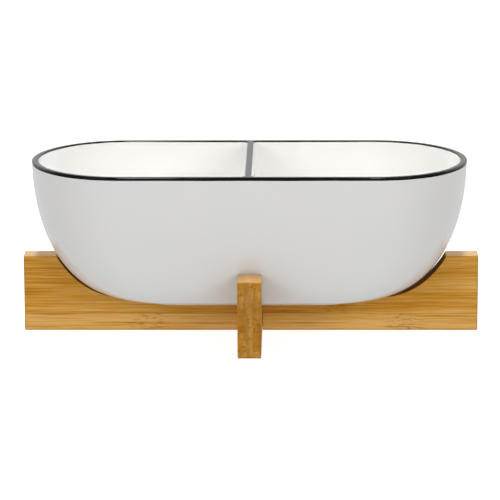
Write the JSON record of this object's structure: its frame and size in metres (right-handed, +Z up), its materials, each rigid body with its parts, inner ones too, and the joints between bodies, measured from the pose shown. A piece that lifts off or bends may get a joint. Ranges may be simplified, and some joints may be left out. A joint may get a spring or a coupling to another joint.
{
  "type": "chip and dip server",
  "caption": "Long round-ended glazed bowl with a divider and a black rim, cradled by a long and a short bamboo board that are halved together on edge.",
  "frame": {"origin": "on the table, directly under the crossing of the two boards", "axes": "+X along the bowl and the long board, +Y along the cross board, +Z up"},
  "size_m": [0.315, 0.167, 0.1205],
  "materials": {
    "white_glaze": "glossy warm white glaze inside and out, bare clay under the foot",
    "black_glaze": "glossy black glaze band on the rim and on top of the divider",
    "long_board_bamboo": "satin honey bamboo, grain along the board",
    "cross_board_bamboo": "satin honey bamboo, grain along the board, end grain at both ends"
  },
  "bodies": {
    "cross_board": {"cross_board": "cross_board_bamboo"},
    "long_board": {"long_board": "long_board_bamboo"},
    "bowl": {"divided_bowl": "white_glaze", "rim_glaze": "black_glaze"}
  },
  "joints": [
    {"name": "board_lift", "type": "slide", "parent": "cross_board", "child": "long_board", "axis": [0, 0, 1], "range_m": [0, 0.03]},
    {"name": "bowl_lift", "type": "slide", "parent": "long_board", "child": "bowl", "axis": [0, 0, 1], "range_m": [0, 0.08]}
  ]
}
